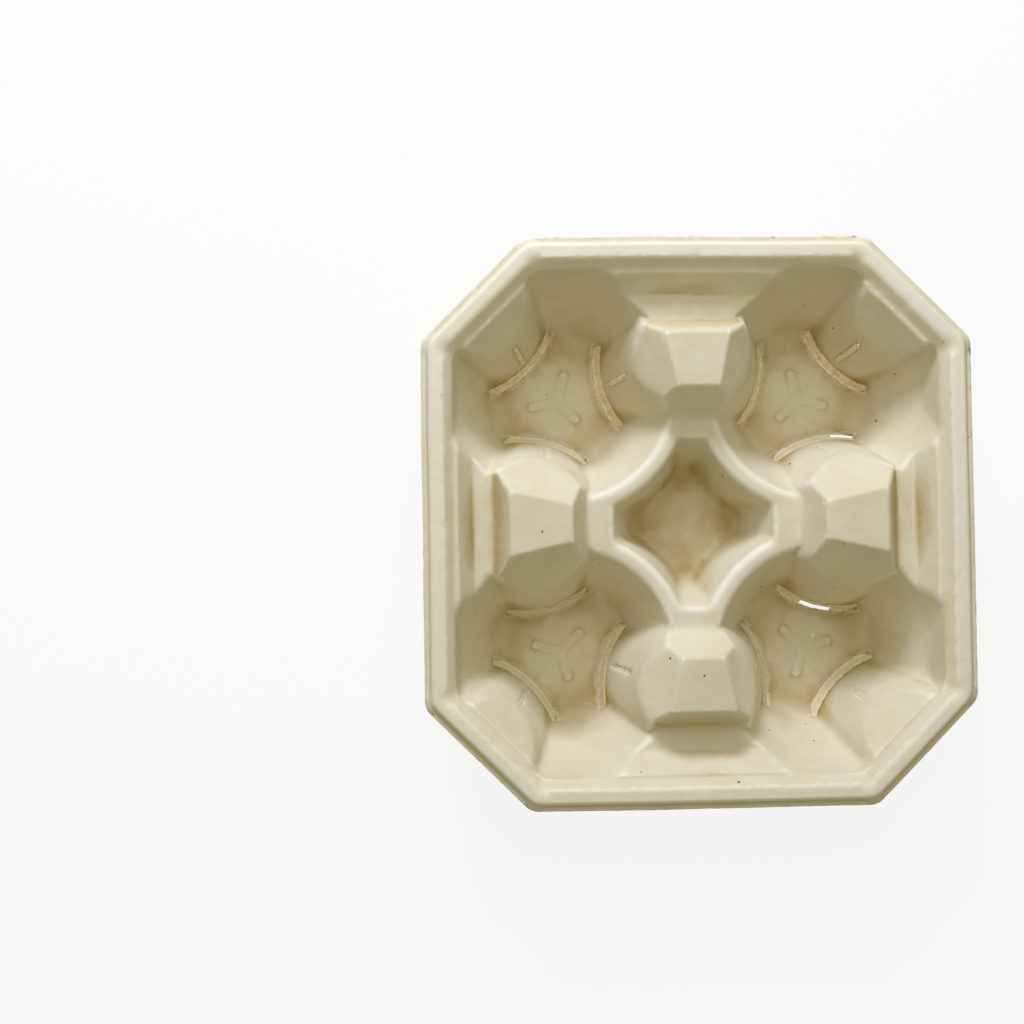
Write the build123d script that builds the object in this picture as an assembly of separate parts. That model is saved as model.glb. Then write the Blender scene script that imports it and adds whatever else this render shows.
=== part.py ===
"""Moulded-pulp carrier tray for four cups: one thin shell, millimetres, +Z up.

The origin is on the ground in the middle of the tray, under its four feet.
One quarter is modelled and mirrored. Its shell is the air above a skin that lies one wall lower,
less the air above the upper skin. A skin that lies lower by grow has every wall moved out by grow.
"""
import os
from math import cos, radians, sin, sqrt

from build123d import *

# Overall outline, measured at the lip, and the stock
WIDTH = 203.7            # across X
LENGTH = 210.0           # across Y
CORNER_CUT = 38.1        # setback of each 45 degree corner cut
CORNER_RADIUS = 7.0      # rounding of the eight corners in plan
HEIGHT = 52.0            # feet to rim
WALL = 1.5               # thickness of the pulp

# Rim, from the lip inwards
LIP_WIDTH = 1.3          # trimmed lip that stands out of the skirt
LIP_THICK = 1.2
SKIRT_DROP = 3.75        # rim top to underside of the lip
SKIRT_RUN = 1.6          # how far the skirt leans out
SHOULDER_RADIUS = 1.8
RIM_FLAT = 4.9           # flat top of the rim
BAND_RUN = 3.5           # sloped band inside the rim
BAND_DROP = 3.9          # rim top to the narrow ledge
LEDGE = 1.5              # width of the ledge

# Levels of the upper skin, each as a drop below the rim top
CHANNEL_DROP = 13.0      # channel between a hump and its side wall
PLATFORM_DROP = 16.5     # ridges and saddles around the centre recess
RECESS_DROP = 43.0       # floor of the centre recess
HUMP_DROP = 1.2          # flat tops of the humps

# Outer walls, as run for each millimetre of drop
SIDE_SLOPE_X = 0.66
SIDE_SLOPE_Y = 0.80
FLANK_SLOPE = 0.14       # wall beside a pocket
CORNER_SLOPE = 0.64      # flat facet across a cut corner
FOOT_FILLET = 3.0        # foot of the side walls

# Cup pockets: a cone, with three bodies that bulge into it
POCKET_X = 48.5          # pocket axis from the middle
POCKET_Y = 50.0
POCKET_TOP = 45.5        # radius at the ledge
POCKET_WAIST = 41.0      # radius at the platform
POCKET_FOOT = 25.5       # radius at the floor
FLOOR_BEVEL = 2.2        # between the cone and the floor
BEVEL_GAIN = 0.3         # how much wider it is on a lower skin, per millimetre
TAB_NEAR = 17.5          # pocket axis to the foot of a bulge
TAB_RADIUS = 40.0        # of a bulge at its foot
TAB_SLOPE = 0.30
CORNER_ANGLE = 45        # directions of the three bulges, seen from the pocket axis
NORTH_ANGLE = 165
EAST_ANGLE = 285

# Through cuts at the foot of the bulges
SLOT_WIDTH = 2.2
SLOT_HALF_ANGLE = 25.0   # seen from the middle of the bulge
SLOT_RISE = 9.0          # highest place that a slot cuts
SLIT_HEIGHTS = (9.0, 26.0)                # above the pocket floor
SLIT_WIDTH = 1.3

# Three-armed rib in each pocket floor
RIB_LENGTH = 12.2
RIB_WIDTH = 4.2
RIB_HEIGHT = 0.9

# Humps: flat top between an inner and an outer edge, on the X and on the Y axis
HUMP_OUTER = 69.9
HUMP_OUTER_HALF = 12.0
HUMP_INNER_X = 46.9
HUMP_INNER_HALF_X = 6.9
HUMP_INNER_Y = 49.8
HUMP_INNER_HALF_Y = 7.75
HUMP_FOOT = 40.6         # inner foot on the platform
HUMP_OUT_SLOPE = 0.55
HUMP_SIDE_SLOPE = 0.84
HUMP_FILLET = 2.0

# Centre recess
RECESS_X = 30.7          # edge at the platform
RECESS_Y = 32.2
RECESS_FLOOR_X = 20.3
RECESS_FLOOR_Y = 21.2
RECESS_ARC = 46.5        # arched sides, about the pocket axes, at the platform
RECESS_FLOOR_ARC = 54.5

# Levels of the upper skin above the ground
LEDGE_Z = HEIGHT - BAND_DROP
CHANNEL_Z = HEIGHT - CHANNEL_DROP
PLATFORM_Z = HEIGHT - PLATFORM_DROP
RECESS_Z = HEIGHT - RECESS_DROP
HUMP_Z = HEIGHT - HUMP_DROP
FLOOR_Z = WALL

RIM_INSET = LIP_WIDTH + SKIRT_RUN + RIM_FLAT      # lip to inner edge of the rim
BAND_INSET = RIM_INSET + BAND_RUN
LEDGE_INSET = BAND_INSET + LEDGE
CORNER_REACH = (WIDTH + LENGTH - 2 * CORNER_CUT) / 2 / sqrt(2)   # middle to a cut corner
TAB_ANGLES = (CORNER_ANGLE, NORTH_ANGLE, EAST_ANGLE)
OVERLAP = 1.0            # how far one cutter runs into the next


def polar(radius, angle):
    return Vector(radius * cos(radians(angle)), radius * sin(radians(angle)))


def outset(grow, slope):
    """Sideways shift of a wall that leans by slope, when its skin moves out by grow."""
    return grow * sqrt(1 + slope ** 2)


def leaning(point, facing, slope, grow=0):
    """Plane of a wall through the point: it faces sideways and leans back by slope."""
    normal = (facing + Vector(0, 0, -slope)).normalized()
    return Plane(origin=point + normal * grow, z_dir=normal)


def inside(solid, plane):
    return split(solid, bisect_by=plane, keep=Keep.BOTTOM)


def quarter(low, high):
    """Block over one quarter of the tray."""
    return Pos(0, 0, low) * Box(WIDTH / 2, LENGTH / 2, high - low,
                                align=(Align.MIN, Align.MIN, Align.MIN))


def off_seam(edge):
    """True if the edge doesn't lie in one of the two planes where the quarters meet."""
    box = edge.bounding_box()
    return min(box.max.X, box.max.Y) > OVERLAP


def walled(low, high, level, insets, slopes, grow, radius):
    """Quarter block between two heights, kept inside its two side walls and its corner wall.

    At the level, each wall stands at its inset from the lip.
    """
    east, north, corner = Vector(1, 0, 0), Vector(0, 1, 0), polar(1, 45)
    reaches = (WIDTH / 2, LENGTH / 2, CORNER_REACH)
    block = quarter(low, high)
    for facing, reach, inset, slope in zip((east, north, corner), reaches, insets, slopes):
        point = facing * (reach - inset) + Vector(0, 0, level)
        block = inside(block, leaning(point, facing, slope, grow))
    corners = [edge for edge in block.edges()
               if off_seam(edge) and edge.bounding_box().size.Z > (high - low) / 2]
    return fillet(corners, radius + grow)


def rim():
    """Flat rim with its rounded shoulder, leaning skirt and trimmed lip."""
    low = HEIGHT - SKIRT_DROP
    lean = SKIRT_RUN / SKIRT_DROP
    skirt = (LIP_WIDTH,) * 3
    body = walled(low, HEIGHT, low, skirt, (-lean,) * 3, 0, CORNER_RADIUS)
    top = body.faces().sort_by(Axis.Z)[-1]
    body = fillet([edge for edge in top.edges() if off_seam(edge)], SHOULDER_RADIUS)
    lip = walled(low, low + LIP_THICK, low, (0, 0, 0), (0, 0, 0), 0, CORNER_RADIUS)
    hollow = walled(low - OVERLAP, HEIGHT - WALL, low, skirt, (-lean,) * 3, -WALL, CORNER_RADIUS)
    return body + lip - hollow


def tub(grow):
    """Air over the channel: side walls down from the ledge, with a rounded foot."""
    block = walled(CHANNEL_Z - grow, LEDGE_Z + OVERLAP, LEDGE_Z, (LEDGE_INSET,) * 3,
                   (SIDE_SLOPE_X, SIDE_SLOPE_Y, CORNER_SLOPE), grow, CORNER_RADIUS)
    foot = block.faces().sort_by(Axis.Z)[0]
    return fillet([edge for edge in foot.edges() if off_seam(edge)], FOOT_FILLET + grow)


def band(grow):
    """Air inside the rim: the sloped band above the ledge, run up past the rim top."""
    return walled(LEDGE_Z - grow, HEIGHT + OVERLAP, HEIGHT, (RIM_INSET,) * 3,
                  (BAND_RUN / BAND_DROP,) * 3, grow, CORNER_RADIUS)


def saddle(grow):
    """Air over the platform in the middle; its outer steps lie inside the humps."""
    half = (HUMP_FOOT + HUMP_OUTER) / 2 + grow
    return Pos(0, 0, PLATFORM_Z - grow) * Box(
        half, half, LEDGE_Z - PLATFORM_Z, align=(Align.MIN, Align.MIN, Align.MIN))


def upright_cone(foot_radius, slope, low, high):
    """Cone about Z between two heights; the radius is given at the pocket floor."""
    return Pos(0, 0, low) * Cone(foot_radius + slope * (low - FLOOR_Z),
                                 foot_radius + slope * (high - FLOOR_Z), high - low,
                                 align=(Align.CENTER, Align.CENTER, Align.MIN))


def tab(angle, grow):
    """Body that bulges into a pocket: a cone that narrows upwards, about its own axis."""
    cone = upright_cone(TAB_RADIUS - outset(grow, TAB_SLOPE), -TAB_SLOPE, -grow - OVERLAP, HEIGHT)
    return Pos(POCKET_X, POCKET_Y, 0) * Pos(*polar(TAB_NEAR + TAB_RADIUS, angle)) * cone


def pocket(grow):
    """Air of one cup pocket, with rounded lobes between the three bulges."""
    low_slope = (POCKET_WAIST - POCKET_FOOT) / (PLATFORM_Z - FLOOR_Z)
    high_slope = (POCKET_TOP - POCKET_WAIST) / (LEDGE_Z - PLATFORM_Z)
    lower = upright_cone(POCKET_FOOT + outset(grow, low_slope), low_slope, FLOOR_Z - grow, PLATFORM_Z)
    lower = chamfer(lower.faces().sort_by(Axis.Z)[0].edges(), FLOOR_BEVEL + BEVEL_GAIN * grow)
    wide = POCKET_WAIST + outset(grow, low_slope)
    upper = Pos(0, 0, PLATFORM_Z) * Cone(
        wide, wide + high_slope * (LEDGE_Z + OVERLAP - PLATFORM_Z), LEDGE_Z + OVERLAP - PLATFORM_Z,
        align=(Align.CENTER, Align.CENTER, Align.MIN))
    air = Pos(POCKET_X, POCKET_Y, 0) * (lower + upper)
    bounds = walled(-grow, LEDGE_Z + OVERLAP, LEDGE_Z, (BAND_INSET,) * 3, (FLANK_SLOPE,) * 3,
                    grow, CORNER_RADIUS)
    return air & bounds


def corner_body(grow):
    """Bulge under the flat facet across a cut corner."""
    facing = polar(1, 45)
    point = facing * (CORNER_REACH - LEDGE_INSET) + Vector(0, 0, LEDGE_Z)
    facet = leaning(point, facing, CORNER_SLOPE, grow)
    return split(tab(CORNER_ANGLE, grow), bisect_by=facet, keep=Keep.TOP)


def hump(grow, inner, inner_half, angle, turned):
    """Half of one hump: flat facets above, and the bulge of the pocket wall below."""
    block = Pos(0, 0, -grow - OVERLAP) * Box(
        WIDTH / 2, LENGTH / 2, HUMP_Z + OVERLAP, align=(Align.MIN, Align.MIN, Align.MIN))
    north = Vector(0, 1, 0)
    taper = (HUMP_OUTER_HALF - inner_half) / (HUMP_OUTER - inner)
    side = Vector(1, -taper, 0).normalized()
    in_slope = (inner - HUMP_FOOT) / (HUMP_Z - PLATFORM_Z)
    for point, facing, slope in (
            (Vector(0, inner, HUMP_Z), -north, -in_slope),
            (Vector(0, HUMP_OUTER, HUMP_Z), north, -HUMP_OUT_SLOPE),
            (Vector(inner_half, inner, HUMP_Z), side, -HUMP_SIDE_SLOPE)):
        block = inside(block, leaning(point, facing, slope, -grow))
    if grow == 0:
        ridges = [edge for edge in block.edges() if edge.bounding_box().max.Z > HUMP_Z - OVERLAP]
        block = fillet([edge for edge in ridges if off_seam(edge)], HUMP_FILLET)
    if turned:
        block = mirror(Rot(0, 0, -90) * block, Plane.XZ)
    return block & tab(angle, grow)


def recess(grow):
    """Air of the centre recess: flat ends on the axes, and a side arched about each pocket."""
    drop = PLATFORM_Z - RECESS_Z
    block = quarter(RECESS_Z - grow, PLATFORM_Z + OVERLAP)
    for facing, high, low in ((Vector(1, 0, 0), RECESS_X, RECESS_FLOOR_X),
                              (Vector(0, 1, 0), RECESS_Y, RECESS_FLOOR_Y)):
        point = facing * high + Vector(0, 0, PLATFORM_Z)
        block = inside(block, leaning(point, facing, (high - low) / drop, grow))
    slope = (RECESS_FLOOR_ARC - RECESS_ARC) / drop
    foot = RECESS_ARC + slope * (PLATFORM_Z - FLOOR_Z) - outset(grow, slope)
    arch = upright_cone(foot, -slope, RECESS_Z - grow - OVERLAP, HEIGHT)
    block -= Pos(POCKET_X, POCKET_Y, 0) * arch
    return block


def rib():
    """Raised Y on a pocket floor, with arms that point into the lobes."""
    arm = Box(RIB_LENGTH, RIB_WIDTH, WALL / 2 + RIB_HEIGHT, align=(Align.MIN, Align.CENTER, Align.MIN))
    arms = [Rot(0, 0, angle + 60) * arm for angle in TAB_ANGLES]
    return Pos(POCKET_X, POCKET_Y, WALL / 2) * (arms[0] + arms[1:])


def air(grow):
    """All the air of one quarter above the skin that lies grow below the upper skin."""
    cups = pocket(grow) - corner_body(grow)
    room = tub(grow) + band(grow) + saddle(grow) + cups
    room += recess(grow)
    room -= hump(grow, HUMP_INNER_Y, HUMP_INNER_HALF_Y, NORTH_ANGLE, False)
    room -= hump(grow, HUMP_INNER_X, HUMP_INNER_HALF_X, EAST_ANGLE, True)
    return room


def slot():
    """Arc cut along the foot of a bulge, about the pocket axis."""
    path = ThreePointArc(*(polar(TAB_RADIUS, 180 + turn)
                           for turn in (-SLOT_HALF_ANGLE, 0, SLOT_HALF_ANGLE)))
    plan = trace(path, SLOT_WIDTH)
    return extrude(Pos(TAB_NEAR + TAB_RADIUS, 0, -OVERLAP) * plan, SLOT_RISE + OVERLAP)


def slit():
    """Short upright cut in the middle of a bulge, a little above its foot."""
    low, high = SLIT_HEIGHTS
    start, end = (TAB_NEAR + TAB_SLOPE * height for height in SLIT_HEIGHTS)
    return Pos(start - WALL, 0, FLOOR_Z + low) * Box(
        end - start + 2 * WALL, SLIT_WIDTH, high - low, align=(Align.MIN, Align.CENTER, Align.MIN))


def tray():
    """The finished shell: one quarter with its through cuts, mirrored twice."""
    shell = rim() + (air(WALL) & quarter(-OVERLAP, HEIGHT))
    shell -= air(0)
    shell += rib()
    for angle in TAB_ANGLES:
        shell -= Pos(POCKET_X, POCKET_Y, 0) * Rot(0, 0, angle) * slot()
        shell -= Pos(POCKET_X, POCKET_Y, 0) * Rot(0, 0, angle) * slit()
    half = shell + mirror(shell, Plane.YZ)
    return half + mirror(half, Plane.XZ)


os.makedirs("parts", exist_ok=True)
body = tray()
print("solids", len(body.solids()), "volume", round(body.volume), "size", body.bounding_box().size)
export_step(body, "parts/tray.step")
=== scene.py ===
# %% [markdown]
# # A moulded-pulp carrier tray for four cups
#
# The real object is one thin sheet of pulp, pressed on a mesh mould and dried. It has no joints and
# no second piece. What makes it look real is not many pieces but one good surface: soft pressed
# edges, a matte fibrous skin, small dark specks, and torn, slightly shiny fibres where the punch cut
# the slots. This lesson loads the measured solid, softens a copy of it, and builds that surface.

# %% Load the measured frame
import math

import bmesh
import bpy
from mathutils import Matrix, Vector, noise
from mathutils.bvhtree import BVHTree


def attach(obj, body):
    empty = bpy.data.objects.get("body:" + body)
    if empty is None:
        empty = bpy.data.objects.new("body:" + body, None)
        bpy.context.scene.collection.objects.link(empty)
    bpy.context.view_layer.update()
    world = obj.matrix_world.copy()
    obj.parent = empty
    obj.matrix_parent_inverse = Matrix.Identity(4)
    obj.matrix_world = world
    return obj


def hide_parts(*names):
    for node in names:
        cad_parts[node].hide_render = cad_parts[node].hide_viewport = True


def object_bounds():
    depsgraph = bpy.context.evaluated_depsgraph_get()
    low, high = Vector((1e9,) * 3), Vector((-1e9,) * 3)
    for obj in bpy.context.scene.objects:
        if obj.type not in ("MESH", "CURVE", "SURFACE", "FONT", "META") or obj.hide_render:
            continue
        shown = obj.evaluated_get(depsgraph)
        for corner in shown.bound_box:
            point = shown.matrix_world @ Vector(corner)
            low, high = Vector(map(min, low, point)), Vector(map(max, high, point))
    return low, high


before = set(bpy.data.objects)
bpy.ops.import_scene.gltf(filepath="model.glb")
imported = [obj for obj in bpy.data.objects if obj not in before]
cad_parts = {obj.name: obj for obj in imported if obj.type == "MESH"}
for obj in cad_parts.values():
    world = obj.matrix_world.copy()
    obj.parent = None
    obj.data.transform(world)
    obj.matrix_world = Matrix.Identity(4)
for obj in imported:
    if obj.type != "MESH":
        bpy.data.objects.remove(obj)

MM = 0.001
noise.seed_set(11)       # so that the sheet warps and the fibres crumple alike in every run
solid_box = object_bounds()
print("measured box, mm:", [[round(v / MM, 2) for v in corner] for corner in solid_box])

# %% [markdown]
# ## The camera
#
# The tray was photographed from a short distance, almost square on to its open side, and a little
# to its left. So a camera of the same reach is put at the same place over the tray. Its three axes
# are given as unit vectors, because a camera fit finds those directly and Euler angles hide them.

# %% Put the camera where the photographer stood
CAMERA_RIGHT = Vector((0.9989, -0.0140, 0.0440))
CAMERA_UP = Vector((0.0129, 0.9996, 0.0252))
CAMERA_BACK = Vector((-0.0443, -0.0246, 0.9987))
CAMERA_PLACE = Vector((-92.1, -12.4, 565.2)) * MM
FOCAL_PIXELS = 1416.1            # focal length, in pixels of the picture
IMAGE_PIXELS = 1024
CENTRE_PIXEL = (512.4, 522.9)    # where the axis of the lens meets the picture

camera_data = bpy.data.cameras.new("photo_camera")
camera_data.sensor_width = 36.0
camera_data.lens = FOCAL_PIXELS / IMAGE_PIXELS * camera_data.sensor_width
camera_data.shift_x = (IMAGE_PIXELS / 2 - CENTRE_PIXEL[0]) / IMAGE_PIXELS
camera_data.shift_y = (CENTRE_PIXEL[1] - IMAGE_PIXELS / 2) / IMAGE_PIXELS
camera_data.clip_start = 0.01
camera = bpy.data.objects.new("photo_camera", camera_data)
turn = Matrix((CAMERA_RIGHT, CAMERA_UP, CAMERA_BACK)).transposed()
camera.matrix_world = Matrix.Translation(CAMERA_PLACE) @ turn.to_4x4()
bpy.context.scene.collection.objects.link(camera)
bpy.context.scene.camera = camera
print("lens, mm:", round(camera_data.lens, 2))

# %% [markdown]
# ## Floor and light
#
# Product photographs of paper ware are lit by soft lamps in a bright room. The main lamp stands
# beyond the far side of the tray, so the walls that face it are pale and those that turn away are
# warm and dark. A weaker panel hangs high on the same side and reaches the floors of the pockets.
# The room fills the shadows with a warm light. The floor shows as nearly plain white to the camera
# but stays an ordinary pale surface to the light, so the tray keeps its soft shadow and the floor
# does not glow on the pulp.

# %% Helpers for materials
def new_material(name):
    """A new material, its node tree and its Principled shader."""
    paint = bpy.data.materials.new(name)
    paint.use_nodes = True
    return paint, paint.node_tree, paint.node_tree.nodes["Principled BSDF"]


def feed(tree, slot, value):
    """Link a node's input to a socket, or give it a plain value."""
    if isinstance(value, bpy.types.NodeSocket):
        tree.links.new(value, slot)
    else:
        slot.default_value = value


def math_node(tree, operation, a, b=None):
    """One Math node. a and b are sockets or plain numbers, and some operations need only a."""
    node = tree.nodes.new("ShaderNodeMath")
    node.operation = operation
    feed(tree, node.inputs[0], a)
    if b is not None:
        feed(tree, node.inputs[1], b)
    return node.outputs[0]

# %% Lay the floor
FLOOR_REACH = 6.0        # metres from the tray to each side of the floor
FLOOR_DROP = 0.2 * MM    # keeps the floor clear of the feet
FLOOR_GREY = (0.80, 0.80, 0.80, 1)
FLOOR_WHITE = 0.88       # share of plain white in what the camera sees


def white_to_camera(tree, shaded, white_share):
    """Mix a shaded floor with plain white, but only for camera, mirror and see-through rays."""
    path = tree.nodes.new("ShaderNodeLightPath")
    either = math_node(tree, "MAXIMUM", path.outputs["Is Camera Ray"], path.outputs["Is Glossy Ray"])
    looked_at = math_node(tree, "MAXIMUM", either, path.outputs["Is Transmission Ray"])
    glow = tree.nodes.new("ShaderNodeEmission")
    glow.inputs["Color"].default_value = (1, 1, 1, 1)
    mix = tree.nodes.new("ShaderNodeMixShader")
    tree.links.new(math_node(tree, "MULTIPLY", looked_at, white_share), mix.inputs[0])
    tree.links.new(shaded.outputs[0], mix.inputs[1])
    tree.links.new(glow.outputs[0], mix.inputs[2])
    return mix


floor_mesh = bmesh.new()
bmesh.ops.create_grid(floor_mesh, x_segments=1, y_segments=1, size=FLOOR_REACH)
bmesh.ops.translate(floor_mesh, verts=floor_mesh.verts, vec=(0, 0, -FLOOR_DROP))
floor_data = bpy.data.meshes.new("floor")
floor_mesh.to_mesh(floor_data)
floor_mesh.free()
floor = bpy.data.objects.new("floor", floor_data)
bpy.context.scene.collection.objects.link(floor)
floor_paint, floor_tree, floor_shader = new_material("pale_floor")
floor_shader.inputs["Base Color"].default_value = FLOOR_GREY
floor_shader.inputs["Roughness"].default_value = 0.9
floor_mix = white_to_camera(floor_tree, floor_shader, FLOOR_WHITE)
floor_tree.links.new(floor_mix.outputs[0], floor_tree.nodes["Material Output"].inputs["Surface"])
floor_data.materials.append(floor_paint)
print("floor, metres across:", 2 * FLOOR_REACH)

# %% Hang the lamps
def soft_lamp(name, place, aim, size, power, colour):
    """Hang a square lamp, turned towards a point on the tray. Lengths are metres, power is watts."""
    data = bpy.data.lights.new(name, "AREA")
    data.shape = "SQUARE"
    data.size = size
    data.energy = power
    data.color = colour
    lamp = bpy.data.objects.new(name, data)
    lamp.location = place
    lamp.rotation_euler = (Vector(aim) - Vector(place)).to_track_quat("-Z", "Y").to_euler()
    bpy.context.scene.collection.objects.link(lamp)
    print(name, "hangs", round(lamp.location.length, 2), "m from the tray")


soft_lamp("far_window", place=(-0.20, 0.86, 0.56), aim=(0, 0, 0.03), size=0.26, power=6.0,
          colour=(0.97, 1.01, 1.24))
soft_lamp("high_panel", place=(-0.05, 0.33, 0.62), aim=(0, 0.05, 0.02), size=0.40, power=1.2,
          colour=(1.0, 0.99, 0.97))

# %% Fill the room with light
ROOM_FILL = 0.31
ROOM_TONE = (1.0, 0.885, 0.52)
world = bpy.data.worlds.new("room")
bpy.context.scene.world = world
world.use_nodes = True
world_tree = world.node_tree
room = world_tree.nodes["Background"]
room.inputs["Color"].default_value = (*ROOM_TONE, 1)
room.inputs["Strength"].default_value = ROOM_FILL
bright = world_tree.nodes.new("ShaderNodeBackground")     # what the camera sees past the floor
bright.inputs["Color"].default_value = (1, 1, 1, 1)
bright.inputs["Strength"].default_value = 1.0
seen = world_tree.nodes.new("ShaderNodeLightPath")
room_mix = world_tree.nodes.new("ShaderNodeMixShader")
world_tree.links.new(seen.outputs["Is Camera Ray"], room_mix.inputs[0])
world_tree.links.new(room.outputs[0], room_mix.inputs[1])
world_tree.links.new(bright.outputs[0], room_mix.inputs[2])
world_tree.links.new(room_mix.outputs[0], world_tree.nodes["World Output"].inputs["Surface"])
bpy.context.scene.view_settings.view_transform = "Standard"
print("room light:", [round(part * ROOM_FILL, 2) for part in ROOM_TONE])

# %% [markdown]
# ## Node groups for pulp
#
# Moulded pulp shows effects at several scales: cloudy tone where fibres settled thicker, a fine felt
# of short fibres, a few dark specks of rind, and small pale nibs. Clouds and fibres come from one
# node group, which the sheet and its torn fibres share. Specks and nibs are a second group, placed
# twice with other values. A third group is the print of the wire mesh that the pulp dried on.

# %% A helper that makes a group with named sockets
def new_group(name, inputs, outputs):
    """An empty shader group. Inputs are (name, kind, value), outputs are (name, kind)."""
    tree = bpy.data.node_groups.new(name, "ShaderNodeTree")
    for label, kind, value in inputs:
        made = tree.interface.new_socket(label, in_out="INPUT", socket_type=kind)
        if value is not None:
            made.default_value = value
    for label, kind in outputs:
        tree.interface.new_socket(label, in_out="OUTPUT", socket_type=kind)
    return tree, tree.nodes.new("NodeGroupInput"), tree.nodes.new("NodeGroupOutput")


def noise_node(tree, vector, scale, detail, roughness, distortion=0.0):
    """The grey value of one Noise texture."""
    node = tree.nodes.new("ShaderNodeTexNoise")
    for label, value in (("Vector", vector), ("Scale", scale), ("Detail", detail),
                         ("Roughness", roughness), ("Distortion", distortion)):
        feed(tree, node.inputs[label], value)
    return node.outputs["Fac"]


def map_range(tree, value, low, high, new_low=0.0, new_high=1.0):
    """Ease from new_low to new_high while the value goes from low to high."""
    node = tree.nodes.new("ShaderNodeMapRange")
    node.interpolation_type = "SMOOTHSTEP"
    for label, given in (("Value", value), ("From Min", low), ("From Max", high),
                         ("To Min", new_low), ("To Max", new_high)):
        feed(tree, node.inputs[label], given)
    return node.outputs["Result"]

# %% The felt of short fibres
FIBRE_STRETCHES = ((0.16, 1.0, 0.6), (1.0, 0.16, 0.5), (0.45, 0.6, 0.16))
GRAIN_SCALE = 2600.0
FIBRE_SHARE = 0.6        # of the height, and the grain has the rest


def build_felt():
    """Clouds and crossing fibres. Each of three noises is stretched another way."""
    tree, given, out = new_group(
        "pulp_felt",
        [("Vector", "NodeSocketVector", None), ("Cloud Scale", "NodeSocketFloat", 55.0),
         ("Fibre Scale", "NodeSocketFloat", 700.0)],
        [("Cloud", "NodeSocketFloat"), ("Fibre", "NodeSocketFloat"), ("Height", "NodeSocketFloat")])
    vector = given.outputs["Vector"]
    cloud = noise_node(tree, vector, given.outputs["Cloud Scale"], detail=4.0, roughness=0.6,
                       distortion=0.4)
    layers = []
    for stretch in FIBRE_STRETCHES:
        shape = tree.nodes.new("ShaderNodeMapping")
        shape.inputs["Scale"].default_value = stretch
        shape.inputs["Rotation"].default_value = (0.3, 0.2, 0.7 + stretch[0])
        tree.links.new(vector, shape.inputs["Vector"])
        layers.append(noise_node(tree, shape.outputs[0], given.outputs["Fibre Scale"], detail=2.0,
                                 roughness=0.6, distortion=0.8))
    pair = math_node(tree, "MAXIMUM", layers[0], layers[1])
    fibre = math_node(tree, "MAXIMUM", pair, layers[2])
    grain = noise_node(tree, vector, GRAIN_SCALE, detail=2.0, roughness=0.7)
    height = math_node(tree, "ADD", math_node(tree, "MULTIPLY", fibre, FIBRE_SHARE),
                       math_node(tree, "MULTIPLY", grain, 1 - FIBRE_SHARE))
    tree.links.new(cloud, out.inputs["Cloud"])
    tree.links.new(fibre, out.inputs["Fibre"])
    tree.links.new(height, out.inputs["Height"])
    return tree


felt_group = build_felt()
print("felt nodes:", len(felt_group.nodes))

# %% The scattered specks
LEAST_SPECK = 0.4        # size of the smallest speck, where the middle one is 0.9


def build_specks():
    """Round specks in a few cells of a Voronoi pattern, each of its own size."""
    tree, given, out = new_group(
        "pulp_specks",
        [("Vector", "NodeSocketVector", None), ("Scale", "NodeSocketFloat", 240.0),
         ("Share", "NodeSocketFloat", 0.03), ("Size", "NodeSocketFloat", 0.12)],
        [("Mask", "NodeSocketFloat")])
    cells = tree.nodes.new("ShaderNodeTexVoronoi")
    tree.links.new(given.outputs["Vector"], cells.inputs["Vector"])
    tree.links.new(given.outputs["Scale"], cells.inputs["Scale"])
    lot = tree.nodes.new("ShaderNodeSeparateColor")
    tree.links.new(cells.outputs["Color"], lot.inputs["Color"])
    chosen = math_node(tree, "LESS_THAN", lot.outputs["Red"], given.outputs["Share"])
    reach = math_node(tree, "MULTIPLY", given.outputs["Size"],
                      math_node(tree, "ADD", lot.outputs["Green"], LEAST_SPECK))
    inside = math_node(tree, "LESS_THAN", cells.outputs["Distance"], reach)
    tree.links.new(math_node(tree, "MULTIPLY", chosen, inside), out.inputs["Mask"])
    return tree


speck_group = build_specks()
print("speck nodes:", len(speck_group.nodes))

# %% The print of the mesh mould
WAVE_SHARE = 0.33        # keeps the sum of the three waves between -1 and 1


def build_mesh_print():
    """Height of a fine wire mesh, the same in every direction, so that no wall stretches it."""
    tree, given, out = new_group(
        "mesh_print",
        [("Vector", "NodeSocketVector", None), ("Wires per Metre", "NodeSocketFloat", 900.0)],
        [("Height", "NodeSocketFloat")])
    split = tree.nodes.new("ShaderNodeSeparateXYZ")
    tree.links.new(given.outputs["Vector"], split.inputs[0])
    turn_rate = math_node(tree, "MULTIPLY", given.outputs["Wires per Metre"], 2 * math.pi)
    waves = [math_node(tree, "SINE", math_node(tree, "MULTIPLY", split.outputs[axis], turn_rate))
             for axis in ("X", "Y", "Z")]
    total = math_node(tree, "ADD", math_node(tree, "ADD", waves[0], waves[1]), waves[2])
    tree.links.new(math_node(tree, "MULTIPLY", total, WAVE_SHARE), out.inputs["Height"])
    return tree


mesh_print_group = build_mesh_print()
print("mesh print nodes:", len(mesh_print_group.nodes))

# %% [markdown]
# ## The pulp itself
#
# The sheet is a warm cream. Three facts about the shape steer its look, and each is kept on the
# mesh as an attribute, worked out further down: how hollow a place is, where painted shade turns
# the cream ochre and brown, how sharp a ridge is, where a painted highlight makes it paler, and
# which side is the under side, where the wire mesh of the mould leaves its print.

# %% Helpers that place a group, mix colours and raise the skin
def place_group(tree, group, vector, values):
    """One use of a node group, with its own values."""
    node = tree.nodes.new("ShaderNodeGroup")
    node.node_tree = group
    tree.links.new(vector, node.inputs["Vector"])
    for label, value in values.items():
        node.inputs[label].default_value = value
    return node


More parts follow.
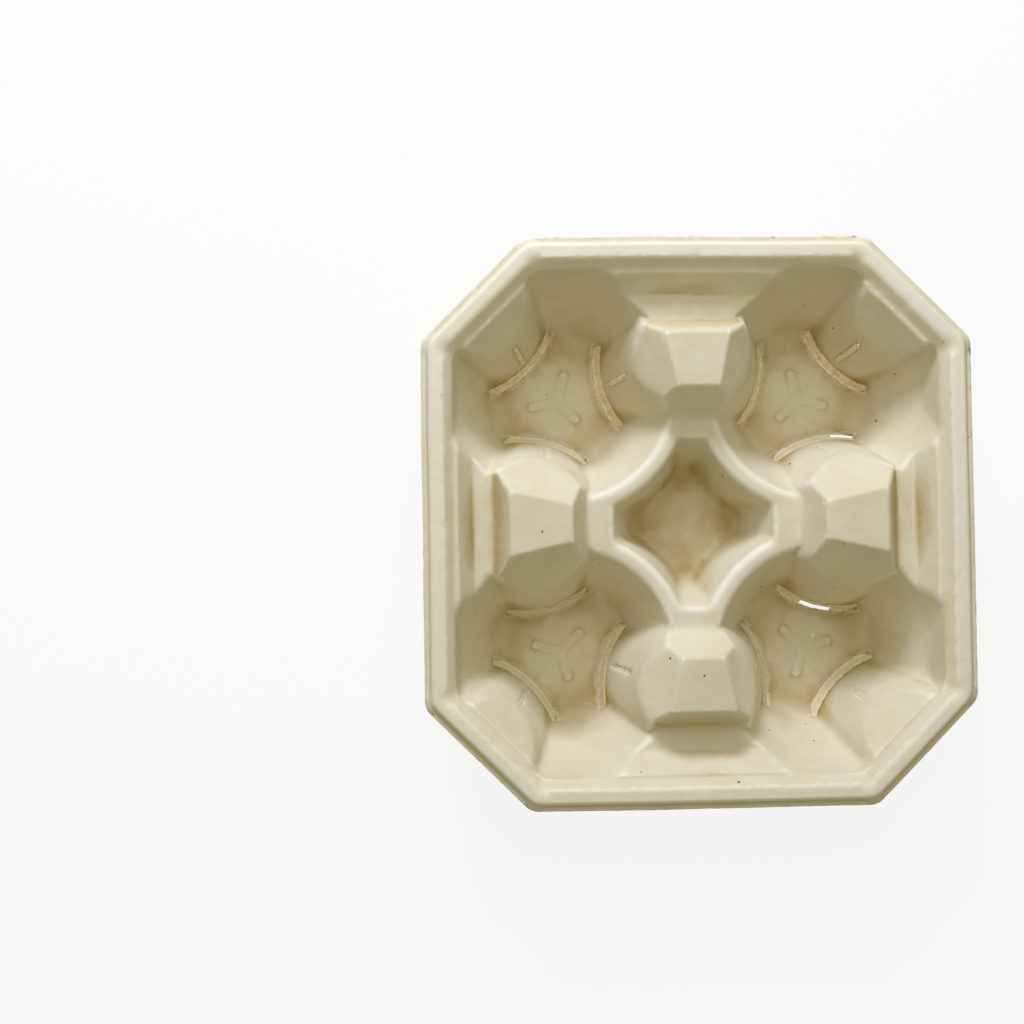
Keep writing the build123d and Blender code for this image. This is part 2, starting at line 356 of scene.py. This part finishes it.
def mix_colour(tree, share, a, b):
    """Mix two colours by a socket's share of the second. Each is a socket or a plain colour."""
    node = tree.nodes.new("ShaderNodeMix")
    node.data_type = "RGBA"
    for slot, value in ((0, share), (6, a), (7, b)):
        feed(tree, node.inputs[slot], value)
    return node.outputs[2]


def mesh_value(tree, name):
    """The factor that the mesh keeps under this name."""
    node = tree.nodes.new("ShaderNodeAttribute")
    node.attribute_name = name
    return node.outputs["Fac"]


def bump(tree, height, distance, strength, over=None):
    """Raise the skin by a height, over another bump's normal if there is one."""
    node = tree.nodes.new("ShaderNodeBump")
    for label, value in (("Distance", distance), ("Strength", strength), ("Height", height)):
        feed(tree, node.inputs[label], value)
    if over is not None:
        tree.links.new(over, node.inputs["Normal"])
    return node.outputs["Normal"]


def srgb(red, green, blue):
    """Linear opaque colour from the 0 to 255 values that a colour picker shows."""
    def one(v):
        v /= 255
        return v / 12.92 if v <= 0.04045 else ((v + 0.055) / 1.055) ** 2.4
    return (one(red), one(green), one(blue), 1.0)

# %% Mix the pulp material
PULP_PALE = srgb(226, 220, 197)
PULP_WARM = srgb(219, 210, 180)
# painted shade: the next two tones darken and brown the hollows and creases, where shadow falls
PULP_OCHRE_AND_SHADE = srgb(182, 158, 88)
PULP_CREASE_SHADE = srgb(168, 140, 66)
# painted highlight: this paler tone lightens the ridges and the top of the rim
RIDGE_HIGHLIGHT = srgb(245, 242, 229)
SPECK_DARK = srgb(98, 84, 56)
NIB_PALE = srgb(247, 243, 230)


def pulp_material():
    """Tones of pulp laid over each other, on a skin of fibres, swells, nibs and the mesh print."""
    paint, tree, shader = new_material("pulp")
    place = tree.nodes.new("ShaderNodeTexCoord").outputs["Object"]
    felt = place_group(tree, felt_group, place, {"Cloud Scale": 60.0, "Fibre Scale": 520.0})
    specks = place_group(tree, speck_group, place, {"Scale": 170.0, "Share": 0.07, "Size": 0.09})
    nibs = place_group(tree, speck_group, place, {"Scale": 95.0, "Share": 0.05, "Size": 0.08})
    hollow_shade = mesh_value(tree, "hollow_shade")
    ridge = mesh_value(tree, "ridge")
    under = mesh_value(tree, "under")
    # what steers a tone, where it starts, where it is full, how strong it gets, and its colour
    layers = (
        (felt.outputs["Cloud"], 0.35, 0.68, 0.60, PULP_WARM),
        # painted shade in the hollows, and a darker painted shade in the deepest creases
        (hollow_shade, 0.20, 0.56, 1.00, PULP_OCHRE_AND_SHADE),
        (hollow_shade, 0.50, 0.86, 0.55, PULP_CREASE_SHADE),
        (felt.outputs["Fibre"], 0.62, 0.78, 0.20, NIB_PALE),
        # painted highlight on the ridges and the top of the rim
        (ridge, 0.15, 0.80, 0.85, RIDGE_HIGHLIGHT))
    tone = PULP_PALE
    for guide, start, full, strength, colour in layers:
        tone = mix_colour(tree, map_range(tree, guide, start, full, 0.0, strength), tone, colour)
    tone = mix_colour(tree, nibs.outputs["Mask"], tone, NIB_PALE)
    tone = mix_colour(tree, specks.outputs["Mask"], tone, SPECK_DARK)
    tree.links.new(tone, shader.inputs["Base Color"])
    tree.links.new(map_range(tree, ridge, 0.2, 0.9, 0.72, 0.5), shader.inputs["Roughness"])
    shader.inputs["Specular IOR Level"].default_value = 0.35
    skin = bump(tree, felt.outputs["Height"], distance=0.22 * MM, strength=0.45)
    swell = noise_node(tree, place, scale=150.0, detail=2.0, roughness=0.5)
    skin = bump(tree, swell, distance=0.9 * MM, strength=0.30, over=skin)
    skin = bump(tree, nibs.outputs["Mask"], distance=0.3 * MM, strength=0.8, over=skin)
    wires = place_group(tree, mesh_print_group, place, {"Wires per Metre": 800.0})
    print_share = math_node(tree, "MULTIPLY", under, 0.6)
    skin = bump(tree, wires.outputs["Height"], distance=0.2 * MM, strength=print_share, over=skin)
    tree.links.new(skin, shader.inputs["Normal"])
    return paint


pulp = pulp_material()
print("pulp nodes:", len(pulp.node_tree.nodes))

# %% [markdown]
# ## Torn fibre
#
# Where the punch went through, it pulled fibres along instead of cutting them clean. They dried as
# a thin, crumpled, slightly shiny web of cream and amber. Some cuts show that web and some are
# almost closed again with plain pulp, so the web's mesh keeps a value between 0, plain pulp, and 1,
# glossy web. A second value says how near a web's border a place is, because amber gathers there.

# %% Mix the torn fibre material
AMBER = srgb(190, 152, 84)
GOLD = srgb(240, 220, 166)
WEB_PALE = srgb(255, 249, 228)
WEB_PLAIN = srgb(236, 228, 202)


def torn_material():
    """Plain pulp or a glossy web, as the mesh says."""
    paint, tree, shader = new_material("torn_fibre")
    place = tree.nodes.new("ShaderNodeTexCoord").outputs["Object"]
    felt = place_group(tree, felt_group, place, {"Cloud Scale": 420.0, "Fibre Scale": 900.0})
    cloud = felt.outputs["Cloud"]
    gloss = mesh_value(tree, "gloss")
    border = math_node(tree, "ADD", mesh_value(tree, "border"), cloud)
    web = mix_colour(tree, map_range(tree, cloud, 0.36, 0.62), GOLD, WEB_PALE)
    web = mix_colour(tree, map_range(tree, border, 1.15, 1.6, 0.0, 0.8), web, AMBER)
    plain = mix_colour(tree, map_range(tree, cloud, 0.45, 0.65, 0.0, 0.35), WEB_PLAIN, PULP_OCHRE_AND_SHADE)
    tree.links.new(mix_colour(tree, gloss, plain, web), shader.inputs["Base Color"])
    tree.links.new(map_range(tree, gloss, 0.0, 1.0, 0.6, 0.26), shader.inputs["Roughness"])
    tree.links.new(map_range(tree, gloss, 0.2, 1.0, 0.3, 0.55), shader.inputs["Specular IOR Level"])
    skin = bump(tree, cloud, distance=0.9 * MM, strength=0.7)
    skin = bump(tree, felt.outputs["Height"], distance=0.3 * MM, strength=0.4, over=skin)
    tree.links.new(skin, shader.inputs["Normal"])
    return paint


torn = torn_material()
print("torn fibre nodes:", len(torn.node_tree.nodes))

# %% [markdown]
# ## The softened sheet
#
# A pressed sheet has no hard corner: every edge of the mould is rounded, and pulp rounds it again.
# The measured solid has flat facets and crisp creases, so a copy of its mesh is merged, cut into
# small even triangles, and relaxed with the smooth operator. Flat faces stay flat while each crease
# turns into a small radius, which is what catches the light in soft lines. The ribs on the pockets'
# floors are too small and steep for that, so their height is worked out as a soft bump instead.

# %% Cut the sheet into small even triangles
MERGE_REACH = 0.002 * MM
EDGE_LIMIT = 2.8 * MM
RIB_EDGE_LIMIT = 1.2 * MM
HALVING_ROUNDS = 8               # at most
FLAT_ANGLE = 0.05                # radians between two triangles of one flat face
POCKET_AXIS = Vector((48.5, 50.0)) * MM
RIB_REACH = 13.5 * MM            # from the pocket axis
RIB_BAND = (1.0 * MM, 4.0 * MM)  # lowest and highest place on a rib and the floor beside it


def on_rib(vert):
    """True near the soft ribs in the middle of a pocket's floor."""
    to_pocket = Vector((abs(vert.co.x), abs(vert.co.y))) - POCKET_AXIS
    return to_pocket.length < RIB_REACH and RIB_BAND[0] < vert.co.z < RIB_BAND[1]


def too_long(edge):
    """True for an edge over the limit, which is lower on the ribs."""
    return edge.calc_length() > (RIB_EDGE_LIMIT if all(map(on_rib, edge.verts)) else EDGE_LIMIT)


def even_triangles(mesh):
    """Halve the edges longer than their limit, again and again, and swap edges for even triangles."""
    for _ in range(HALVING_ROUNDS):
        long_edges = [edge for edge in mesh.edges if too_long(edge)]
        if not long_edges:
            break
        bmesh.ops.subdivide_edges(mesh, edges=long_edges, cuts=1)
        bmesh.ops.triangulate(mesh, faces=[face for face in mesh.faces if len(face.verts) > 3],
                              quad_method="SHORT_EDGE", ngon_method="BEAUTY")
        flat = [edge for edge in mesh.edges
                if len(edge.link_faces) == 2 and edge.calc_face_angle(0.0) < FLAT_ANGLE]
        bmesh.ops.beautify_fill(mesh, faces=mesh.faces, edges=flat)


sheet_mesh = bmesh.new()
sheet_mesh.from_mesh(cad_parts["tray"].data)
print("solid as loaded, triangles:", len(sheet_mesh.faces))
bmesh.ops.remove_doubles(sheet_mesh, verts=sheet_mesh.verts, dist=MERGE_REACH)
even_triangles(sheet_mesh)
print("evened, triangles:", len(sheet_mesh.faces))

# %% Relax the creases
RELAX_ROUNDS = 3
RELAX_SHARE = 0.5                # of the way to the middle of a vertex's neighbours
CUT_ANGLE = math.radians(80)     # an edge sharper than this was punched or trimmed


def is_cut(vert):
    """True on the crisp edges of a punched cut or the trimmed lip."""
    return not on_rib(vert) and any(edge.calc_face_angle(0.0) > CUT_ANGLE for edge in vert.link_edges)


pressed = [vert for vert in sheet_mesh.verts if not is_cut(vert)]
for _ in range(RELAX_ROUNDS):
    bmesh.ops.smooth_vert(sheet_mesh, verts=pressed, factor=RELAX_SHARE,
                          use_axis_x=True, use_axis_y=True, use_axis_z=True)
print("vertices relaxed:", len(pressed), "of", len(sheet_mesh.verts))

# %% Turn the ribs into soft bumps
FLOOR_TOP = 1.5 * MM             # upper skin of a pocket's floor
RIB_TURNS = (105, 225, 345)      # degrees, three arms between the bulging walls
RIB_LENGTH = 12.2 * MM
RIB_HALF = 2.1 * MM
RIB_HEIGHT = 0.9 * MM
RIB_FOOT = RIB_HALF * 1.5        # from the middle line of an arm to the end of its bump
RIB_FLANK = RIB_HALF * 1.2       # over which it rises


def rib_rise(vert):
    """Height of the soft bump that pulp makes of the three crisp ribs at this place."""
    place = Vector((abs(vert.co.x), abs(vert.co.y))) - POCKET_AXIS
    reach = []
    for turn in RIB_TURNS:
        arm = Vector((math.cos(math.radians(turn)), math.sin(math.radians(turn))))
        along = min(max(place.dot(arm), 0.0), RIB_LENGTH - RIB_HALF)
        reach.append((place - arm * along).length)
    share = min(1.0, max(0.0, (RIB_FOOT - min(reach)) / RIB_FLANK))
    return RIB_HEIGHT * share * share * (3 - 2 * share)


ribbed = [vert for vert in sheet_mesh.verts if on_rib(vert)]
for vert in ribbed:
    vert.co.z = FLOOR_TOP + rib_rise(vert)
print("vertices on and round the ribs:", len(ribbed))

# %% Let the sheet warp a little and fray its lip
WARP = 0.25 * MM                 # greatest wander along each axis of a dried sheet from its mould
WARP_LENGTH = 38 * MM            # distance over which it wanders
WARP_FADE = 20 * MM              # below this height it wanders less up and down, so that the feet stand
LIP_BAND = 1.5 * MM              # width of the trimmed edge
FRAY = 0.12 * MM                 # roughness of that edge
FRAY_LENGTH = 1.3 * MM


def on_lip(vert):
    """True on the trimmed edge along the four long sides of the rim."""
    half_width, half_length = solid_box[1][0], solid_box[1][1]
    out = max(abs(vert.co.x), abs(vert.co.y) - (half_length - half_width))
    return out > half_width - LIP_BAND


for vert in sheet_mesh.verts:
    wander = noise.noise_vector(vert.co / WARP_LENGTH) * WARP
    wander.z *= min(1.0, vert.co.z / WARP_FADE)
    if on_lip(vert):
        wander += noise.noise_vector(vert.co / FRAY_LENGTH) * FRAY
    vert.co += wander
print("lowest point, mm:", round(min(vert.co.z for vert in sheet_mesh.verts) / MM, 3))

# %% [markdown]
# ## What the shape says about the look
#
# A ray test over the half sphere above each vertex gives its hollowness, which steers the painted
# shade. The slope from a vertex to its neighbours gives the ridges, which get a painted highlight:
# on a ridge they all lie below its tangent plane. The top of the rim counts as about half a ridge,
# so it gets part of that painted highlight too. Hollows and ridges are averaged with the neighbours,
# so that no single vertex shows as a spot. The under side is what faces down.

# %% Measure hollows, ridges and the under side
RAYS = 20
RAY_START = 0.8 * MM             # clear of the skin that the ray leaves
RAY_REACH = 28 * MM
GOLDEN_TURN = math.pi * (3 - math.sqrt(5))
RIDGE_FULL = 0.16                # mean slope down to the neighbours on a full ridge
RIM_HIGHLIGHT_DEPTH = 0.9 * MM             # the top of the rim down to here gets part of the painted highlight
RIM_HIGHLIGHT_SHARE = 0.55
UNDER_TURN = -0.1                # a normal that leans further down belongs to the under side


def half_sphere(count):
    """Directions over the upper half sphere, denser towards the top, as diffuse light falls."""
    directions = []
    for k in range(count):
        rise = math.sqrt(1 - (k + 0.5) / count)
        reach = math.sqrt(1 - rise * rise)
        turn = k * GOLDEN_TURN
        directions.append(Vector((reach * math.cos(turn), reach * math.sin(turn), rise)))
    return directions


def hollowness(vert, surface, directions):
    """Share of the rays from a vertex that soon meet the sheet again."""
    aim = vert.normal.to_track_quat("Z", "Y")
    start = vert.co + vert.normal * RAY_START
    hits = sum(surface.ray_cast(start, aim @ way, RAY_REACH)[0] is not None for way in directions)
    return hits / len(directions)


def ridgeness(vert):
    """From 0 on a flat or hollow place to 1 on a ridge."""
    drops = [vert.normal.dot((vert.co - edge.other_vert(vert).co).normalized()) for edge in vert.link_edges]
    return min(1.0, max(0.0, sum(drops) / len(drops) / RIDGE_FULL))


def neighbours_mean(vert, values):
    near = [values[edge.other_vert(vert).index] for edge in vert.link_edges]
    return sum(near) / len(near)


def averaged(mesh, values, rounds):
    """Each value moves half of the way to the mean of its neighbours, in every round."""
    for _ in range(rounds):
        values = [(values[vert.index] + neighbours_mean(vert, values)) / 2 for vert in mesh.verts]
    return values


sheet_mesh.normal_update()
sheet_mesh.verts.index_update()
sheet_surface = BVHTree.FromBMesh(sheet_mesh)
sky = half_sphere(RAYS)
# the hollowness steers the painted shade
hollows = averaged(sheet_mesh, [hollowness(vert, sheet_surface, sky) for vert in sheet_mesh.verts], rounds=3)
ridges = averaged(sheet_mesh, [ridgeness(vert) for vert in sheet_mesh.verts], rounds=1)
rim_height = solid_box[1][2] - RIM_HIGHLIGHT_DEPTH
# the top of the rim takes part of the painted highlight
ridges = [max(ridge, RIM_HIGHLIGHT_SHARE) if vert.co.z > rim_height else ridge
          for vert, ridge in zip(sheet_mesh.verts, ridges)]
unders = [1.0 if vert.normal.z < UNDER_TURN else 0.0 for vert in sheet_mesh.verts]
print("mean hollowness:", round(sum(hollows) / len(hollows), 3))
print("vertices on ridges:", sum(ridge > 0.5 for ridge in ridges), "and under the sheet:", int(sum(unders)))

# %% Keep them on the sheet and put it in the tray's place
SHARP_ANGLE = math.radians(60)   # a crease sharper than this still shows as an edge


def keep_values(data, name, values):
    """Keep one number per vertex on the mesh, where a material can read it."""
    data.attributes.new(name, "FLOAT", "POINT").data.foreach_set("value", values)


for face in sheet_mesh.faces:
    face.smooth = True
sheet_data = bpy.data.meshes.new("pulp_sheet")
sheet_mesh.to_mesh(sheet_data)
sheet_mesh.free()
keep_values(sheet_data, "hollow_shade", hollows)
keep_values(sheet_data, "ridge", ridges)
keep_values(sheet_data, "under", unders)
sheet = bpy.data.objects.new("pulp_sheet", sheet_data)
bpy.context.scene.collection.objects.link(sheet)
sheet_data.materials.append(pulp)
sheet_data.set_sharp_from_angle(angle=SHARP_ANGLE)
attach(sheet, "root")
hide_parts("tray")
print("pulp_sheet faces:", len(sheet_data.polygons))

# %% [markdown]
# ## Fibre in the cuts
#
# Each pocket has three walls that bulge inwards, and each of them has an arc slot along its foot and
# a short upright slit above it. The web of a slot is a grid bent along the arc: one long edge lies
# on the pocket floor, the other climbs the wall. It is crumpled with noise, and where it tore open
# its faces are taken out. What a cut looks like differs from one to the next, so each has its own
# values: how glossy its web is, and the stretch of the arc where it tore open.

# %% Where the cuts are and how each one tore
BULGE_CENTRE = 57.5 * MM         # pocket axis to the axis of a bulging wall
BULGE_RADIUS = 40.0 * MM
BULGE_SLOPE = 0.30               # the wall's radius shrinks by this share of the height
# Degrees round the pocket that the others mirror. One bulge is at the cut corner, and the other two
# are beside the humps at the end and at the side of the tray.
BULGES = {"corner": 45, "end": 165, "side": 285}
POCKETS = {"ne": (1, 1), "nw": (-1, 1), "se": (1, -1), "sw": (-1, -1)}
CLOSED = (0.0, 0.0)              # a stretch of no length
TEARS = {                        # gloss, and the stretch of the arc that tore open
    ("nw", "corner"): (1.0, CLOSED), ("nw", "end"): (0.85, CLOSED), ("nw", "side"): (0.40, CLOSED),
    ("ne", "corner"): (1.0, CLOSED), ("ne", "end"): (1.0, CLOSED), ("ne", "side"): (0.65, (-0.98, -0.45)),
    ("sw", "corner"): (0.30, CLOSED), ("sw", "end"): (0.15, CLOSED), ("sw", "side"): (0.10, CLOSED),
    ("se", "corner"): (0.60, CLOSED), ("se", "end"): (0.15, CLOSED), ("se", "side"): (0.95, (-0.3, 0.35))}


def bulge_frame(pocket, bulge):
    """Axis of one bulging wall, and the direction from it to the pocket, in plan."""
    mirror = Vector(POCKETS[pocket])
    angle = math.radians(BULGES[bulge])
    away = Vector((math.cos(angle) * mirror.x, math.sin(angle) * mirror.y))
    axis = Vector((POCKET_AXIS.x * mirror.x, POCKET_AXIS.y * mirror.y)) + away * BULGE_CENTRE
    return axis, -away


print("cuts:", len(TEARS), "torn open:", sum(gap != CLOSED for gloss, gap in TEARS.values()))

# %% Helpers that start and finish a mesh of webs
def empty_web():
    """A mesh whose vertices carry gloss and border. to_mesh keeps both as attributes."""
    mesh = bmesh.new()
    for label in ("gloss", "border"):
        mesh.verts.layers.float.new(label)
    return mesh


def mark_fibre(mesh, vert, gloss, along, across):
    """Note a vertex's gloss and how near the border of its web it lies."""
    vert[mesh.verts.layers.float["gloss"]] = gloss
    vert[mesh.verts.layers.float["border"]] = max(across ** 2, along ** 8)


def finish_web(mesh, name, thickness):
    """Turn a mesh of webs into one piece that rides on the tray."""
    data = bpy.data.meshes.new(name)
    bmesh.ops.delete(mesh, geom=[vert for vert in mesh.verts if not vert.link_faces], context="VERTS")
    bmesh.ops.recalc_face_normals(mesh, faces=mesh.faces)
    for face in mesh.faces:
        face.smooth = True
    mesh.to_mesh(data)
    mesh.free()
    web = bpy.data.objects.new(name, data)
    bpy.context.scene.collection.objects.link(web)
    data.materials.append(torn)
    wall = web.modifiers.new("thickness", "SOLIDIFY")
    wall.thickness = thickness
    wall.offset = -1.0
    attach(web, "root")
    print(name, "faces:", len(data.polygons))

# %% Bend a crumpled web into each slot
SLOT_HALF_ANGLE = 27.2           # degrees
WEB_HALF_WIDTH = 1.4 * MM
WEB_CELLS = (84, 8)              # along the arc and across it
WEB_THICKNESS = 0.18 * MM
CLIMB_LIMIT = 4.6 * MM           # height up to which a web follows its wall
CLIMB_SHARE = 0.92               # of that height, so that its edge sinks a little into the wall
ROUND_END = 0.06                 # share of the half length over which an end is rounded
END_WIDTH = 0.2                  # width that is left there at the tip
BEAD = 0.50 * MM                 # a web stands proud of its cut, like a bead
GAP_HALF = 0.55                  # half width of an open stretch, where the web's own is 1
GAP_LOSS = 0.75                  # a face there is lost where the noise, from 0 to 1, is lower
RAGGED = 0.16                    # how much the width of a web wanders
CRUMPLE = (0.12, 0.20)           # mm, for a plain web, and what full gloss adds
CRUMPLE_LENGTH = 1.5 * MM
NOISE_STEP = (3.7, 1.9, 5.3)     # from the noise of one web to that of the next


def slot_place(axis, towards, along, across):
    """Point of a web. along runs from -1 to 1 on the arc, across from the wall (-1) to the floor (1)."""
    radius = BULGE_RADIUS + across * WEB_HALF_WIDTH
    turned = Matrix.Rotation(math.radians(SLOT_HALF_ANGLE) * along, 2) @ towards
    flat = axis + turned * radius
    climb = max(0.0, BULGE_RADIUS - radius) / BULGE_SLOPE
    return Vector((flat.x, flat.y, FLOOR_TOP + min(climb, CLIMB_LIMIT) * CLIMB_SHARE))


def torn_out(face, gap, shift):
    """True for most faces in the open stretch of a web."""
    middle = face.calc_center_median()
    in_gap = gap[0] < middle.x < gap[1] and abs(middle.y) < GAP_HALF
    chance = noise.noise(Vector((middle.x * 9, middle.y * 1.2, 0)) + shift) * 0.5 + 0.5
    return in_gap and chance < GAP_LOSS


def slot_web(mesh, axis, towards, gloss, gap, seed):
    """Add the web of one slot."""
    grid = bmesh.ops.create_grid(mesh, x_segments=WEB_CELLS[0], y_segments=WEB_CELLS[1], size=1.0)["verts"]
    shift = Vector([seed * step for step in NOISE_STEP])
    faces = {face for vert in grid for face in vert.link_faces}
    lost = [face for face in faces if torn_out(face, gap, shift)]
    for vert in grid:
        along, across = vert.co.x, vert.co.y
        mark_fibre(mesh, vert, gloss, along, across)
        ragged = 1 + RAGGED * noise.noise(Vector((along * 11, across, 0)) + shift)
        past = max(0.0, abs(along) - 1 + ROUND_END) / ROUND_END
        width = ragged * math.sqrt(max(END_WIDTH ** 2, 1 - past ** 2))
        spot = slot_place(axis, towards, along, across * width)
        amount = CRUMPLE[0] + CRUMPLE[1] * gloss
        crumple = noise.noise_vector(spot / CRUMPLE_LENGTH + shift) * amount
        bead = Vector((towards.x, towards.y, 1.0)) * BEAD * (1 - across ** 2)
        vert.co = spot + bead + crumple * MM * (1 - 0.5 * abs(across))
    bmesh.ops.delete(mesh, geom=lost, context="FACES")


slot_mesh = empty_web()
for seed, ((pocket, bulge), (gloss, gap)) in enumerate(TEARS.items()):
    axis, towards = bulge_frame(pocket, bulge)
    slot_web(slot_mesh, axis, towards, gloss, gap, seed)
finish_web(slot_mesh, "slot_fibres", WEB_THICKNESS)

# %% Close the slits with short webs
SLIT_SPAN = (8.6 * MM, 26.4 * MM)    # lowest and highest place, above the pocket floor
SLIT_MIDDLE = sum(SLIT_SPAN) / 2
SLIT_HALF = (SLIT_SPAN[1] - SLIT_SPAN[0]) / 2
SLIT_HALF_WIDTH = 0.80 * MM
SLIT_CELLS = (28, 4)             # along the slit and across it
SLIT_THICKNESS = 0.30 * MM
SLIT_RAGGED = 0.25               # how much the width of a web wanders
SLIT_CRUMPLE = (0.05, 0.25)      # mm, for a plain web, and what full gloss adds
SLIT_CRUMPLE_LENGTH = 1.4 * MM
GLOSSY_EXTRA = 0.35 * MM         # a glossy web is this much wider to each side
SUNK_EDGE = 0.25 * MM            # a plain web lies this deep in its slit along the edges
SUNK_MIDDLE = 2.4                # and this many times as deep in the middle
PLAIN_GLOSS = 0.05               # of a slit that plain pulp almost closes
SLIT_GLOSS = {("nw", "corner"): 0.9, ("nw", "end"): 1.0, ("ne", "corner"): 1.0}


def slit_web(mesh, axis, towards, gloss, seed):
    """Add the web of one slit, upright in its wall."""
    side = Vector((-towards.y, towards.x))
    grid = bmesh.ops.create_grid(mesh, x_segments=SLIT_CELLS[0], y_segments=SLIT_CELLS[1], size=1.0)["verts"]
    for vert in grid:
        along, across = vert.co.x, vert.co.y
        mark_fibre(mesh, vert, gloss, along, across)
        height = SLIT_MIDDLE + SLIT_HALF * along
        ragged = 1 + SLIT_RAGGED * noise.noise(Vector((along * 9, seed * 2.7, 0)))
        offset = (SLIT_HALF_WIDTH + GLOSSY_EXTRA * gloss) * across * ragged
        flat = axis + towards * (BULGE_RADIUS - BULGE_SLOPE * height) + side * offset
        spot = Vector((flat.x, flat.y, FLOOR_TOP + height))
        sunk = SUNK_EDGE * (1 - gloss) * (SUNK_MIDDLE - (SUNK_MIDDLE - 1) * abs(across))
        proud = BEAD * gloss * (1 - across ** 2) - sunk
        amount = SLIT_CRUMPLE[0] + SLIT_CRUMPLE[1] * gloss
        crumple = noise.noise_vector(spot / SLIT_CRUMPLE_LENGTH) * amount
        vert.co = spot + Vector((towards.x, towards.y, 0)) * proud + crumple * MM


slit_mesh = empty_web()
for seed, (pocket, bulge) in enumerate(TEARS):
    axis, towards = bulge_frame(pocket, bulge)
    slit_web(slit_mesh, axis, towards, SLIT_GLOSS.get((pocket, bulge), PLAIN_GLOSS), seed)
finish_web(slit_mesh, "slit_fibres", SLIT_THICKNESS)
